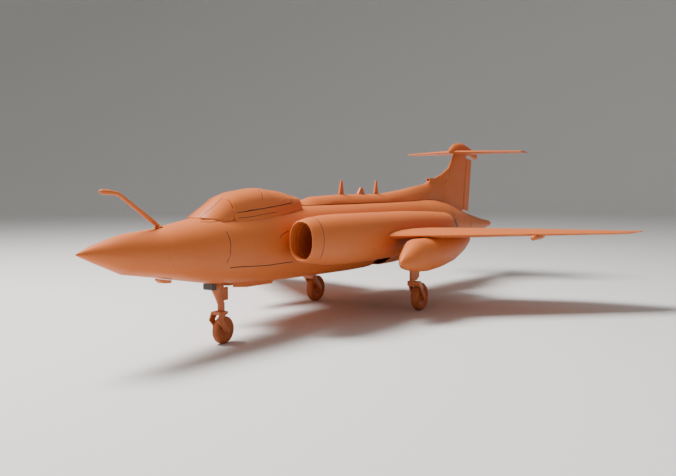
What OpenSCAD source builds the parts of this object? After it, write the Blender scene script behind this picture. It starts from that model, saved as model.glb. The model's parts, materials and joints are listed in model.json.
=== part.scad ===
// A twin ducted-fan radio-control jet: mid wing, T-tail, levered undercarriage.
// Frame: nose towards -Y, the pilot's left wing towards +X, up +Z, wheels on z = 0.

/* [Airframe] */
// Length from the nose tip to the tail cone
length = 1404; // [1150:1:1700]
// Distance between the wing tips
span = 978; // [815:1:1180]
// Skin thickness of the moulded fuselage and nacelles
skin = 1.6; // [1:0.1:2.4]
// Height of the duct and wing centreline above the ground
axis_z = 153; // [150:1:165]

/* [Wing] */
// Chord where the wing meets the nacelle
root_chord = 304; // [250:1:365]
// Chord at the outer end of the ailerons
tip_chord = 92; // [76:1:112]
// Depth of the wing where it meets the nacelle
root_depth = 18; // [16:0.5:22]
// Leading edge sweep, in degrees
sweep = 39.6; // [33:0.1:45]
// Diameter of the wing joiner tubes
joiner_d = 8; // [6:0.5:9.6]

/* [Fans] */
// Diameter of the fan rotors
fan_d = 64; // [54:0.5:64]
// Running gap between the blade tips and the housing
tip_gap = 0.5; // [0.4:0.1:0.8]
// Wall of the fan housings
housing_wall = 1.8; // [1.2:0.1:2.2]
// Number of fan blades
blades = 11; // [5:1:12]
// Diameter of the fan motors
motor_d = 28; // [22:0.5:29]
// Diameter of the fan shafts
shaft_d = 5; // [4:0.5:6]

/* [Undercarriage] */
// Nose wheel diameter over the tyre
nose_tyre_d = 42; // [35:0.5:46]
// Main wheel diameter over the tyre
main_tyre_d = 54; // [45:0.5:56]
// Width of the nose tyre
nose_tyre_w = 12; // [10:0.5:14]
// Width of the main tyres
main_tyre_w = 16; // [13:0.5:19]
// Half the distance between the main wheels
half_track = 121; // [119:0.5:123]
// Diameter of the axles
axle_d = 4; // [3:0.5:5]
// Radial running clearance of axles, hinges and shafts
running = 0.06; // [0.03:0.01:0.1]

/* [Equipment] */
// Battery length
battery_l = 138; // [115:1:166]
// Battery width
battery_w = 44; // [37:1:52]
// Battery height
battery_h = 38; // [32:1:46]

/* [Hidden] */
$fn = 48;
shell_colour = "#C9764A";
dark_colour = "#3A3A3C";
steel_colour = "#9A9DA1";
gap = 0.3;

// ---- stations and small helpers ----
function at(f) = (f - 0.5) * length;
function lerp(a, b, t) = a + (b - a) * t;
function flat(lists) = [for (l = lists) each l];
function blend_rows(rows, y, i = 0) =
  y <= at(rows[0][0]) ? rows[0]
  : i >= len(rows) - 2 || y <= at(rows[i + 1][0])
    ? lerp(rows[i], rows[i + 1], (y - at(rows[i][0])) / (at(rows[i + 1][0]) - at(rows[i][0])))
    : blend_rows(rows, y, i + 1);

// Two triangles across the four points a, b, c, d
function quad(a, b, c, d) = [[a, b, c], [a, c, d]];

// A closed solid through rings of points, every ring the same length
module loft(rings) {
  n = len(rings[0]);
  m = len(rings);
  polyhedron(
    points = flat(rings),
    faces = concat(
      [[for (i = [n - 1 : -1 : 0]) i]],
      flat([for (r = [0 : m - 2], i = [0 : n - 1])
        quad(r * n + i, r * n + (i + 1) % n, (r + 1) * n + (i + 1) % n, (r + 1) * n + i)]),
      [[for (i = [0 : n - 1]) (m - 1) * n + i]]));
}

// The wall between outer rings and inner rings, open at both ends.
// A closed ring joins its last point to its first; an arch has feet there instead.
module loft_wall(outer, inner, arch = false) {
  n = len(outer[0]);
  m = len(outer);
  k = n * m;
  last = (m - 1) * n;
  e = arch ? n - 2 : n - 1;
  function nxt(i) = (i + 1) % n;
  polyhedron(
    points = concat(flat(outer), flat(inner)),
    faces = concat(
      flat([for (r = [0 : m - 2], i = [0 : e])
        quad(r * n + i, r * n + nxt(i), (r + 1) * n + nxt(i), (r + 1) * n + i)]),
      flat([for (r = [0 : m - 2], i = [0 : e])
        quad(k + r * n + i, k + (r + 1) * n + i, k + (r + 1) * n + nxt(i), k + r * n + nxt(i))]),
      flat([for (i = [0 : e]) quad(i, k + i, k + nxt(i), nxt(i))]),
      flat([for (i = [0 : e]) quad(last + i, last + nxt(i), k + last + nxt(i), k + last + i)]),
      arch ? flat([for (r = [0 : m - 2])
        concat(quad(r * n, (r + 1) * n, k + (r + 1) * n, k + r * n),
               quad(r * n + n - 1, k + r * n + n - 1, k + (r + 1) * n + n - 1, (r + 1) * n + n - 1))]) : []));
}

// An oval section: row = [station, centre x, half width, top, bottom, widest z, power]
sides = 20;
function power(v, n) = sign(v) * pow(abs(v), 2 / n);
function oval(row, y, inset = 0) =
  [for (i = [0 : sides - 1])
    let (a = 360 * (i + 0.5) / sides, s = sin(a), c = cos(a), n = s > 0 ? row[6] : row[7])
    [row[1] + (row[2] - inset) * power(c, n), y,
     row[5] + (s > 0 ? row[3] - row[5] - inset : row[5] - row[4] - inset) * power(s, n)]];
function own_rows(rows, y0, y1) =
  concat([y0], [for (r = rows) if (at(r[0]) > y0 + 2 && at(r[0]) < y1 - 2) at(r[0])], [y1]);
module body_shell(rows, y0, y1, wall = skin) {
  ys = own_rows(rows, y0, y1);
  loft_wall([for (y = ys) oval(blend_rows(rows, y), y)],
            [for (y = ys) oval(blend_rows(rows, y), y, wall)]);
}
module body_solid(rows, y0, y1, inset = 0) {
  loft([for (y = own_rows(rows, y0, y1)) oval(blend_rows(rows, y), y, inset)]);
}
module both_sides() {
  children();
  mirror([1, 0, 0]) children();
}

// ---- fuselage lines ----
// [station, centre x, half width, top z, bottom z, widest z, upper power, lower power]
side_x = 50;
body_rows = [
  [0.000, 0, 1.2, 157.2, 154.8, 156, 2, 2],
  [0.018, 0, 11, 166.5, 143.5, 155, 2, 2],
  [0.051, 0, 25, 177, 124, 152, 2.1, 2.1],
  [0.0905, 0, 34, 181.5, 114.5, 149, 2.1, 2.2],
  [0.1325, 0, 42, 190.5, 103.5, 148, 2.1, 2.3],
  [0.158, 0, 46, 196, 97, 148, 2.2, 2.4],
  [0.194, 0, 49, 200, 90.5, 148, 2.3, 2.5],
  [0.2507, 0, side_x, 206, 85, 148, 2.4, 2.6],
  [0.322, 0, side_x, 209, 83, 148, 2.5, 2.8],
  [0.4316, 0, side_x, 210, 80, 148, 2.6, 3],
  [0.560, 0, side_x, 210, 80, 148, 2.6, 3],
  [0.632, 0, side_x, 212, 83, 148, 2.4, 2.8],
  [0.670, 0, 58, 213, 87, 148, 2.3, 2.5],
  [0.705, 0, 61, 212, 92, 148, 2.2, 2.3],
  [0.756, 0, 55, 204.5, 100, 146, 2.1, 2.2],
  [0.836, 0, 38, 180, 112, 145, 2.1, 2.1],
  [0.890, 0, 29, 167, 117, 142, 2.1, 2.1],
  [0.950, 0, 18, 154, 124, 139, 2, 2],
  [0.990, 0, 10, 148, 129, 138, 2, 2],
  [1.000, 0, 6, 144, 132, 138, 2, 2]];
nose_joint = at(0.0905);
mid_joint = at(0.3134);
tail_joint = at(0.660);
cone_joint = at(0.836);
cone_gap = 2;
function body_z(y, x) =
  let (r = blend_rows(body_rows, y))
  r[5] + (r[3] - r[5]) * pow(max(0, 1 - pow(abs(x) / r[2], r[6])), 1 / r[6]);

// ---- undercarriage places ----
nose_y = at(0.1866);
nose_pivot_z = 104;
nose_axle_y = nose_y + 4;
nose_axle_z = nose_tyre_d / 2;
nose_well = 18.2;
main_y = at(0.5);
main_pivot = [118, 112];
main_axle_z = main_tyre_d / 2;
trunnion_d = 7;
main_well = main_tyre_d / 2 + 3.5;
main_folded_x = main_pivot[0] - (main_pivot[1] - main_axle_z);

module nose_cone() color(shell_colour) {
  difference() {
    body_solid(body_rows, at(0), nose_joint);
    body_solid(body_rows, at(0.03), nose_joint + 1, skin);
  }
}

// A small blister under the nose with a vent behind it
vent_y = at(0.1085);
function under(y) = blend_rows(body_rows, y)[4];
module chin_fairing() color(shell_colour) {
  y0 = at(0.093);
  y1 = vent_y - 1;
  loft([
    [[-3, y0, under(y0) - 3], [3, y0, under(y0) - 3], [4, y0, under(y0) - gap], [-4, y0, under(y0) - gap]],
    [[-6, y0 + 8, under(y0 + 8) - 6], [6, y0 + 8, under(y0 + 8) - 6],
     [8, y0 + 8, under(y0 + 8) - gap], [-8, y0 + 8, under(y0 + 8) - gap]],
    [[-7, y1, under(y1) - 4.5], [7, y1, under(y1) - 4.5], [9, y1, under(y1) - gap], [-9, y1, under(y1) - gap]]]);
}

// ---- cockpit ----
sill_front = at(0.185);
cockpit_half = 25;
windshield_front = at(0.1475);
arch_y = at(0.1845);
canopy_rear = at(0.3115);

module front_fuselage() color(shell_colour) {
  difference() {
    body_shell(body_rows, nose_joint, mid_joint);
    translate([-cockpit_half, sill_front, 180]) cube([2 * cockpit_half, mid_joint - sill_front + 1, 60]);
    translate([-nose_well, nose_y - 14, 70])
      cube([2 * nose_well, nose_pivot_z - nose_axle_z + nose_tyre_d / 2 + 22, 36]);
    translate([-7, vent_y, under(vent_y) - 5]) cube([14, 16, 12]);
  }
}

module mid_fuselage() color(shell_colour) {
  difference() {
    body_shell(body_rows, mid_joint, tail_joint);
    both_sides() translate([main_folded_x - main_well, main_y - main_well, 60])
      cube([60, 2 * main_well, 62]);
  }
}

module tail_fuselage() color(shell_colour) {
  body_shell(body_rows, tail_joint, cone_joint - cone_gap);
  both_sides() difference() {
    translate([petal_pin[0] - 2.2, cone_joint - 14, lug_z[0] + lug_h + gap])
      cube([4.4, 20, lug_z[1] - lug_z[0] - lug_h - 2 * gap]);
    translate([petal_pin[0], petal_pin[1], lug_z[0] - 1]) cylinder(d = pin_d + 2 * running, h = 40);
  }
}

// Stations of the two tall aerials
mast_ys = [at(0.4338), at(0.5306)];

// The spine sits on the fuselage and runs into the fin
spine_rows = [ // station, top z, half width at the foot
  [0.3135, 215, 19], [0.332, 213, 18], [0.359, 221, 19], [0.4316, 224.7, 20], [0.544, 224.7, 20],
  [0.6154, 233.5, 20], [0.696, 246, 17], [0.7555, 268, 8]];
function spine_ring(y) =
  let (r = blend_rows(spine_rows, y), b = r[2], h = r[1], foot = body_z(y, b))
  concat(
    [for (x = [-1 : 1 / 3 : 1.01]) [b * x, y, body_z(y, b * x) + gap]],
    [[b * 0.80, y, lerp(foot, h, 0.45)], [b * 0.50, y, lerp(foot, h, 0.82)], [b * 0.16, y, h],
     [-b * 0.16, y, h], [-b * 0.50, y, lerp(foot, h, 0.82)], [-b * 0.80, y, lerp(foot, h, 0.45)]]);
fin_front = at(0.757);
module dorsal_spine() color(shell_colour) {
  ys = [at(0.3135), at(0.332), at(0.359), at(0.395), at(0.4316), at(0.50), at(0.544), at(0.585),
        at(0.6154), at(0.632), at(0.67), at(0.696), at(0.705), at(0.718), at(0.73), at(0.7555)];
  difference() {
    union() {
      loft([for (y = ys) spine_ring(y)]);
      translate([0, at(0.721), 254.5]) scoop();
    }
    for (y = mast_ys) translate([0, y, 212]) cylinder(d = 4.2, h = 20);
  }
}
module scoop() {
  difference() {
    translate([-4, -14, -8]) cube([8, 28, 14]);
    translate([-2.8, -15, -0.5]) cube([5.6, 18, 5]);
  }
}

// Windshield: flat front pane and a side pane each side, on the deck ahead of the canopy
pane_base = 14;
pane_top = 9;
arch_half = 31;
arch_top = 224;
windshield_wall = 1.4;
function arch_ring(y, half, top, foot, inset = 0) =
  [for (a = [0 : 22.5 : 180])
    [(half - inset) * power(cos(a), 2.3), y, foot + (top - inset - foot) * power(sin(a), 2.3)]];
module windshield() color(shell_colour) {
  foot = body_z(arch_y, arch_half) + 1;
  front_z = body_z(windshield_front, 0) + gap;
  difference() {
    hull() {
      translate([0, arch_y, 0]) rotate([90, 0, 0]) linear_extrude(0.6)
        polygon([for (p = arch_ring(0, arch_half, arch_top, foot)) [p[0], p[2]]]);
      translate([-pane_base, windshield_front, front_z - 2]) cube([2 * pane_base, 1, 2.4]);
      translate([-arch_half + 1, arch_y - 24, foot - 5]) cube([2 * arch_half - 2, 24, 5]);
    }
    hull() {
      translate([0, arch_y + 1, 0]) rotate([90, 0, 0]) linear_extrude(0.6)
        polygon([for (p = arch_ring(0, arch_half - windshield_wall, arch_top - 1.6, foot - 6)) [p[0], p[2]]]);
      translate([-pane_base + 3, windshield_front + 7, front_z - 8]) cube([2 * pane_base - 6, 1, 7]);
    }
    body_solid(body_rows, windshield_front - 12, arch_y + 6, -gap);
  }
}

// Canopy: one opaque moulding that slides back along its rails
canopy_rows = [ // share of its length, half width, top z, foot z
  [0, 31, 224, 199.5], [0.16, 32.5, 232, 201.5], [0.36, 33.5, 236.2, 204.5], [0.52, 33, 236.8, 207],
  [0.74, 31, 232.5, 210.3], [1, 26, 223.5, 214]];
canopy_wall = 1.6;
function cy(f) = lerp(arch_y + gap, canopy_rear, f);
module canopy() color(shell_colour) {
  loft_wall([for (r = canopy_rows) arch_ring(cy(r[0]), r[1], r[2], r[3])],
            [for (r = canopy_rows) arch_ring(cy(r[0]), r[1], r[2], r[3], canopy_wall)], arch = true);
}

// Raised coaming that the canopy slides on
sill_rows = [for (r = canopy_rows) [cy(r[0]), r[1], r[3] - 0.4]];
module cockpit_sill() color(shell_colour) both_sides()
  loft([for (r = sill_rows)
    [[r[1] + 4, r[0], body_z(r[0], r[1] + 4) + gap], [r[1] + 0.8, r[0], r[2]],
     [r[1] - 3, r[0], r[2]], [r[1] - 3, r[0], body_z(r[0], r[1] - 3) + gap]]]);

// Bent probe ahead of the windshield
// [behind the probe foot, above it, radius, tilt of the ring]
probe_rows = [
  [0, 0, 5.6, 0], [0, 1.6, 5.6, 0], [-1, 2.4, 3.2, 20], [-12, 9.5, 3.1, 50], [-64, 43, 2.7, 50],
  [-71, 46.5, 2.7, 68], [-79, 47.6, 2.9, 84], [-82, 48, 3.4, 86], [-95, 48.8, 3.3, 86],
  [-98, 49, 2.2, 88], [-99, 49, 0.8, 88]];
function slice_from(rows, k) = [for (i = [k : len(rows) - 1]) rows[i]];
module probe() color(shell_colour) {
  y = at(0.097);
  base = body_z(y, 0) + gap;
  foot = probe_rows[0][2];
  loft(concat(
    [[for (i = [0 : 15]) let (a = -360 * i / 16, px = foot * cos(a), py = y + foot * sin(a))
      [px, py, body_z(py, px) + gap]]],
    [for (r = slice_from(probe_rows, 1))
      [for (i = [0 : 15]) let (a = -360 * i / 16)
        [r[2] * cos(a), y + r[0] + r[2] * sin(a) * cos(r[3]), base + r[1] + r[2] * sin(a) * sin(r[3])]]]));
}

// ---- equipment ----
tray_z = 136;
tray_y = at(0.214);
tray_t = 3;
module battery_tray() color("burlywood") {
  difference() {
    translate([-30, tray_y - 6, tray_z]) cube([60, battery_l + 16, tray_t]);
    for (y = [18, battery_l - 18]) translate([-22, tray_y + y, tray_z - 1]) cube([44, 5, tray_t + 2]);
  }
}
module battery() color("steelblue") {
  translate([-battery_w / 2, tray_y, tray_z + tray_t + gap]) cube([battery_w, battery_l, battery_h]);
}
module receiver() color(dark_colour) {
  translate([-14, at(0.34), 150]) cube([28, 48, 15]);
}
module speed_controls() color("darkgreen") {
  both_sides() translate([8, at(0.41), 150]) cube([30, 72, 14]);
}
module servo() {
  cube([12, 23, 22]);
  translate([0, -5, 15]) cube([12, 33, 2.4]);
  translate([6, 6, 22]) cylinder(d = 6, h = 3.5);
}
module servos() color(dark_colour) {
  translate([-6, at(0.72), 150]) servo();
  translate([-26, at(0.72), 150]) servo();
  translate([14, at(0.72), 150]) servo();
  translate([-6, at(0.135), 140]) servo();
}

// ---- flying surfaces ----
function foil(f) = 5 * (0.2969 * sqrt(f) - 0.126 * f - 0.3516 * f * f + 0.2843 * pow(f, 3) - 0.1036 * pow(f, 4));
// station of a surface: [leading edge, trailing edge, depth]; up is the way the depth runs
function chord(s) = norm(s[1] - s[0]);
function skin_point(s, f, side, up) = lerp(s[0], s[1], f) + up * side * s[2] * foil(f);
front_shares = [0, 0.015, 0.06, 0.16, 0.32, 0.52];
function front_ring(s, up, rear) =
  let (fs = concat(front_shares, [rear]), n = len(fs))
  concat([for (f = fs) skin_point(s, f, 1, up)],
         [for (i = [n - 1 : -1 : 1]) skin_point(s, fs[i], -1, up)]);
edge_h = 0.5;
function hinge_h(s, fh) = s[2] * foil(fh);
function rear_ring(s, up, fh) =
  let (h = hinge_h(s, fh), d = (s[1] - s[0]) / chord(s), c = lerp(s[0], s[1], fh))
  [c - d * h, c - d * h * 0.7 + up * h * 0.7, c + up * h, s[1] + up * edge_h,
   s[1] - up * edge_h, c - up * h, c - d * h * 0.7 - up * h * 0.7];
// Share of the chord at which the fixed part stops ahead of a hinge
function stop_share(s, fh) = fh - (hinge_h(s, fh) + 1) / chord(s);
function slice(a, b, t) = [lerp(a[0], b[0], t), lerp(a[1], b[1], t), lerp(a[2], b[2], t)];
up_z = [0, 0, 1];
up_x = [-1, 0, 0];

wing_root_x = 126.6;
wing_root_y = at(0.4005);
wing_tip_x = span / 2;
aileron_end_x = wing_tip_x - 32;
kink_x = lerp(wing_root_x, wing_tip_x, 0.48);
hinge_share = 0.76;
function le_y(x) = wing_root_y + (x - wing_root_x) * tan(sweep);
wing_z = axis_z - 1;
tip_te_y = le_y(aileron_end_x) + tip_chord;
root_s = [[wing_root_x, wing_root_y, wing_z], [wing_root_x, wing_root_y + root_chord, wing_z], root_depth];
end_s = [[aileron_end_x, le_y(aileron_end_x), wing_z], [aileron_end_x, tip_te_y, wing_z], root_depth * 0.34];
kink_s =
  let (t = (kink_x - wing_root_x) / (aileron_end_x - wing_root_x), m = slice(root_s, end_s, t))
  [m[0], m[1] + [0, 22, 0], root_depth * 0.62];
function wing_at(x) =
  x <= kink_x ? slice(root_s, kink_s, (x - wing_root_x) / (kink_x - wing_root_x))
  : slice(kink_s, end_s, (x - kink_x) / (aileron_end_x - kink_x));
joiner_share = 0.40;
joiner_y = wing_root_y + root_chord * joiner_share;
joiner_l = 112;

module wing_half() {
  xs = [wing_root_x, lerp(wing_root_x, kink_x, 0.5), kink_x, lerp(kink_x, aileron_end_x, 0.5), aileron_end_x];
  difference() {
    loft([for (x = xs) let (s = wing_at(x)) front_ring(s, up_z, stop_share(s, hinge_share))]);
    translate([wing_root_x - 1, joiner_y, wing_z]) rotate([0, 90, 0])
      cylinder(d = joiner_d + 2 * running, h = joiner_l - joiner_in + 2);
  }
}
module wing_tip() {
  s = end_s;
  x = wing_tip_x;
  y = s[0][1];
  c = tip_chord;
  e = aileron_end_x + gap;
  first = [[e, y + gap * tan(sweep), wing_z], [e, tip_te_y, wing_z], s[2]];
  mid = [[x - 12, y + 20 * tan(sweep) + 3, wing_z + 0.5], [x - 12, tip_te_y + 3, wing_z + 0.5], s[2] * 0.8];
  last = [[x, y + c * 0.52, wing_z + 1], [x, tip_te_y - 4, wing_z + 1], 1.6];
  loft([front_ring(first, up_z, 0.985), front_ring(mid, up_z, 0.985), front_ring(last, up_z, 0.985)]);
}
flap_x0 = wing_root_x + 3;
flap_x1 = kink_x - 0.8;
aileron_x0 = kink_x + 0.8;
aileron_x1 = aileron_end_x - 1;
module rear_part(x0, x1) {
  loft([rear_ring(wing_at(x0), up_z, hinge_share), rear_ring(wing_at(x1), up_z, hinge_share)]);
}
function hinge_point(x) = let (s = wing_at(x)) lerp(s[0], s[1], hinge_share);
pin_d = 1.6;
module pin_between(a, b, d) {
  v = b - a;
  translate(a) rotate([0, acos(v[2] / norm(v)), atan2(v[1], v[0])]) cylinder(d = d, h = norm(v));
}
module bore_between(a, b, d) {
  v = (b - a) / norm(b - a);
  pin_between(a - v, b + v, d);
}
module flap() color(shell_colour) {
  difference() {
    rear_part(flap_x0, flap_x1);
    bore_between(hinge_point(flap_x0), hinge_point(flap_x1), pin_d + 2 * running);
  }
}
module aileron() color(shell_colour) {
  difference() {
    rear_part(aileron_x0, aileron_x1);
    bore_between(hinge_point(aileron_x0), hinge_point(aileron_x1), pin_d + 2 * running);
  }
}
module wing_left() color(shell_colour) wing_half();
module wing_right() color(shell_colour) mirror([1, 0, 0]) wing_half();
module wing_tips() color(shell_colour) both_sides() wing_tip();
module flap_left() flap();
module flap_right() mirror([1, 0, 0]) flap();
module aileron_left() aileron();
module aileron_right() mirror([1, 0, 0]) aileron();

// ---- slipper tanks and pods under the wing ----
tank_x = 172;
tank_y0 = le_y(tank_x) - 78;
tank_l = 318;
tank_rows = [ // share, half width, top z below the wing centre, bottom z, mid z
  [0, 2, 112, 106, 109], [0.05, 12, 124, 97, 109], [0.16, 22, 139, 89.5, 113],
  [0.30, 27, 149, 87, 118], [0.45, 27.5, 150, 89, 121], [0.62, 25, 149, 96, 125],
  [0.80, 17, 148, 110, 132], [0.93, 8, 147, 126, 138], [1, 2, 145, 139, 142]];
function tank_ring(r, y, inset = 0) =
  [for (i = [0 : 15]) let (a = 360 * (i + 0.5) / 16, s = sin(a))
    [tank_x + (r[1] - inset) * power(cos(a), 2.2), y,
     r[4] + (s > 0 ? r[2] - r[4] - inset : r[4] - r[3] - inset) * power(s, 2.2)]];
module tank() color(shell_colour) {
  difference() {
    loft([for (r = tank_rows) tank_ring(r, tank_y0 + r[0] * tank_l)]);
    loft([for (i = [2 : 6]) tank_ring(tank_rows[i], tank_y0 + tank_rows[i][0] * tank_l, skin)]);
    fuller_wing(tank_x - 32, tank_x + 32);
    rear_sweep(tank_x - 32, tank_x + 32);
  }
}
// The wing with a small clearance, to cut what seats against it
function fuller(s) = [s[0] - [0, 1, 0], s[1] + [0, 1, 0], s[2] + 2 * gap];
module fuller_wing(x0, x1) {
  for (rear = [stop_share(wing_at(x0), hinge_share), 0.9])
    loft([for (x = [x0, x1]) front_ring(fuller(wing_at(x)), up_z, rear)]);
}
// Room for the flap to droop
module rear_sweep(x0, x1) {
  a = hinge_point(x0);
  b = hinge_point(x1);
  h = hinge_h(wing_at(x0), hinge_share);
  hull() {
    pin_between(a - [0, h + 3, 0], b - [0, h + 3, 0], 0.5);
    pin_between(a + [0, 90, 0], b + [0, 90, 0], 0.5);
    pin_between(a + [0, -h - 3, -60], b + [0, -h - 3, -60], 0.5);
    pin_between(a + [0, 90, -60], b + [0, 90, -60], 0.5);
  }
}
module slipper_tank_left() tank();
module slipper_tank_right() mirror([1, 0, 0]) tank();
pod_x = lerp(wing_root_x, wing_tip_x, 0.575);
pod_z = wing_z - 6.2;
module wing_pods() color(shell_colour) both_sides() {
  y = le_y(pod_x);
  difference() {
    union() {
      translate([pod_x, y - 8, pod_z]) rotate([-90, 0, 0]) cylinder(d = 10, h = 50);
      translate([pod_x, y - 8, pod_z]) sphere(d = 10);
      translate([pod_x, y + 42, pod_z]) rotate([-90, 0, 0]) cylinder(d1 = 10, d2 = 3, h = 22);
    }
    fuller_wing(pod_x - 8, pod_x + 8);
    translate([pod_x - 8, y - 20, wing_z + 0.5]) cube([16, 100, 10]);
  }
}

// ---- nacelles, ducts and fans ----
duct_x = 88;
nacelle_rows = [
  [0.266, 86, 26.5, 190, 118, 154, 2.3, 2.3],
  [0.293, 87.5, 32, 192.5, 112, 153, 2.4, 2.4],
  [0.329, 88, 36.5, 193.5, 109, 152, 2.5, 2.5],
  [0.395, 88.4, 37.9, 193.5, 107.5, 152, 2.5, 2.6],
  [0.500, 88.4, 37.9, 192, 107.5, 152, 2.5, 2.6],
  [0.571, 88, 36.5, 189, 110, 152, 2.4, 2.5],
  [0.6325, 85.5, 32, 184.5, 120.5, 152.5, 2.1, 2.1]];
nacelle_front = at(0.266);
nacelle_rear = at(0.6325);
module nacelle() color(shell_colour) {
  difference() {
    body_shell(nacelle_rows, nacelle_front, nacelle_rear);
    translate([40, main_y - main_well, 90]) cube([main_folded_x + main_well + 6 - 40, 2 * main_well, 31.5]);
    translate([60, main_leg_y - 22, 90]) cube([56, 44, 31.5]);
    translate([106, main_leg_y - 22, 90]) cube([30, 44, 37]);
    translate([110, joiner_y, wing_z]) rotate([0, 90, 0]) cylinder(d = joiner_d + 2 * running, h = 30);
  }
}
module nacelle_left() nacelle();
module nacelle_right() mirror([1, 0, 0]) nacelle();

lip_front = at(0.2505);
mouth = [20.5, 29.5];
function lip_ring(y, grow) =
  [for (i = [0 : sides - 1]) let (a = 360 * (i + 0.5) / sides, r = nacelle_rows[0])
    [r[1] + (mouth[0] + grow) * power(cos(a), 2.3), y, r[5] + (mouth[1] + grow) * power(sin(a), 2.3)]];
module intake_lips() color(shell_colour) both_sides() {
  end = oval(nacelle_rows[0], nacelle_front - gap);
  outer = [lip_ring(lip_front, 1.6), lip_ring(lip_front + 4, 3.8), lip_ring(lip_front + 12, 5), end];
  inner = [lip_ring(lip_front, 0.4), lip_ring(lip_front + 4, 0), lip_ring(lip_front + 12, 0.3),
           lip_ring(nacelle_front - gap, 1)];
  loft_wall(outer, inner);
}

fan_y = at(0.425);
housing_l = 46;
housing_r = fan_d / 2 + tip_gap + housing_wall;
bore_r = fan_d / 2 + tip_gap;
// Radius of the flange that seats in the nacelle
seat_row = blend_rows(nacelle_rows, fan_y + 10);
seat_r = seat_row[2] - abs(seat_row[1] - duct_x) - skin - 2 * gap;
duct_wall = 1.2;
// The joiner tubes start beside the ducts
joiner_in = wing_root_x - (duct_x + bore_r + duct_wall + gap);
function round_ring(x, z, ry, rz, y) =
  [for (i = [0 : sides - 1]) let (a = 360 * (i + 0.5) / sides) [x + ry * cos(a), y, z + rz * sin(a)]];
// Inlet duct ring a share t of the way back, grown by g
function duct_ring(t, g) =
  let (r = nacelle_rows[0])
  round_ring(lerp(r[1], duct_x, t), lerp(r[5], axis_z, t), lerp(mouth[0] + 1, bore_r, t) + g,
             lerp(mouth[1] + 1, bore_r, t) + g, lerp(nacelle_front + gap, fan_y - gap, t));
module inlet_ducts() color(shell_colour) both_sides() {
  ts = [0, 0.2, 0.4, 0.7, 1];
  loft_wall([for (t = ts) duct_ring(t, duct_wall)], [for (t = ts) duct_ring(t, 0)]);
}
module fan_housing() color(dark_colour) {
  translate([duct_x, fan_y, axis_z]) rotate([-90, 0, 0]) {
    difference() {
      union() {
        cylinder(r = housing_r, h = housing_l);
        translate([0, 0, 10]) cylinder(r = seat_r, h = 4);
      }
      translate([0, 0, -1]) cylinder(r = bore_r, h = housing_l + 2);
    }
    difference() {
      union() {
        translate([0, 0, 20]) cylinder(d = motor_d + 3.2, h = housing_l - 20);
        for (i = [0 : 4]) rotate([0, 0, i * 72])
          translate([motor_d / 2, -0.8, 22]) cube([bore_r - motor_d / 2 + 0.8, 1.6, 18]);
      }
      translate([0, 0, 22.5]) cylinder(d = motor_d + 0.2, h = housing_l);
      translate([0, 0, 19]) cylinder(d = shaft_d + 1, h = 5);
    }
  }
}
module fan_housing_left() fan_housing();
module fan_housing_right() mirror([1, 0, 0]) fan_housing();
hub_d = 27;
module fan_rotor() color("whitesmoke") {
  translate([duct_x, fan_y + 3, axis_z]) rotate([-90, 0, 0]) {
    cylinder(d = hub_d, h = 14);
    translate([0, 0, -14]) rotate_extrude() polygon([[0, 0], [4, 1.2], [9, 6], [hub_d / 2, 14], [0, 14]]);
    translate([0, 0, 13]) cylinder(d = shaft_d, h = 30);
    intersection() {
      for (i = [0 : blades - 1]) rotate([0, 0, i * 360 / blades])
        translate([hub_d / 2 - 1, 0, 7]) rotate([38, 0, 0]) translate([0, -8, -0.6]) cube([fan_d / 2, 16, 1.2]);
      cylinder(d = fan_d, h = 14);
    }
  }
}
module fan_rotor_left() fan_rotor();
module fan_rotor_right() mirror([1, 0, 0]) fan_rotor();
module fan_motors() color(steel_colour) both_sides() {
  translate([duct_x, fan_y + 22.8, axis_z]) rotate([-90, 0, 0]) difference() {
    union() {
      cylinder(d = motor_d, h = 34);
      translate([0, 0, 34]) cylinder(d1 = motor_d, d2 = motor_d - 8, h = 4);
    }
    translate([0, 0, -1]) cylinder(d = shaft_d + 2 * running, h = 26);
  }
}
pipe_exit_r = 25;
module jet_pipes() color(steel_colour) both_sides() {
  y0 = fan_y + housing_l + gap;
  y1 = at(0.645);
  translate([duct_x, y0, axis_z]) rotate([-90, 0, 0]) rotate_extrude()
    polygon([[bore_r, 0], [bore_r + duct_wall, 0], [lerp(bore_r, pipe_exit_r, 0.55) + duct_wall, (y1 - y0) * 0.55],
             [pipe_exit_r + duct_wall, y1 - y0], [pipe_exit_r, y1 - y0], [lerp(bore_r, pipe_exit_r, 0.55), (y1 - y0) * 0.55]]);
}

// Frames inside the body and each nacelle that carry the wing joiners
frame_t = 5;
frame_fit = skin + 0.2;
module wing_frame() color("burlywood") {
  y0 = joiner_y - frame_t / 2;
  difference() {
    body_solid(body_rows, y0, y0 + frame_t, frame_fit);
    translate([-30, y0 - 1, 112]) cube([60, frame_t + 2, 66]);
    translate([-60, y0 - 1, 60]) cube([120, frame_t + 2, 62]);
    translate([-60, y0 - 1, 190]) cube([120, frame_t + 2, 40]);
  }
  both_sides() difference() {
    body_solid(nacelle_rows, y0, y0 + frame_t, frame_fit);
    translate([duct_x, y0 - 1, axis_z]) rotate([-90, 0, 0]) cylinder(r = bore_r + duct_wall + gap, h = frame_t + 2);
    translate([0, y0 - 1, 60]) cube([200, frame_t + 2, 68]);
    translate([0, y0 - 1, 60]) cube([duct_x, frame_t + 2, 200]);
    translate([110, joiner_y, wing_z]) rotate([0, 90, 0]) cylinder(d = joiner_d + 2 * running, h = 30);
  }
}
module wing_joiners() color(dark_colour) both_sides() {
  translate([wing_root_x - joiner_in, joiner_y, wing_z]) rotate([0, 90, 0]) difference() {
    cylinder(d = joiner_d, h = joiner_l);
    translate([0, 0, -1]) cylinder(d = joiner_d - 2, h = joiner_l + 2);
  }
}

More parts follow.
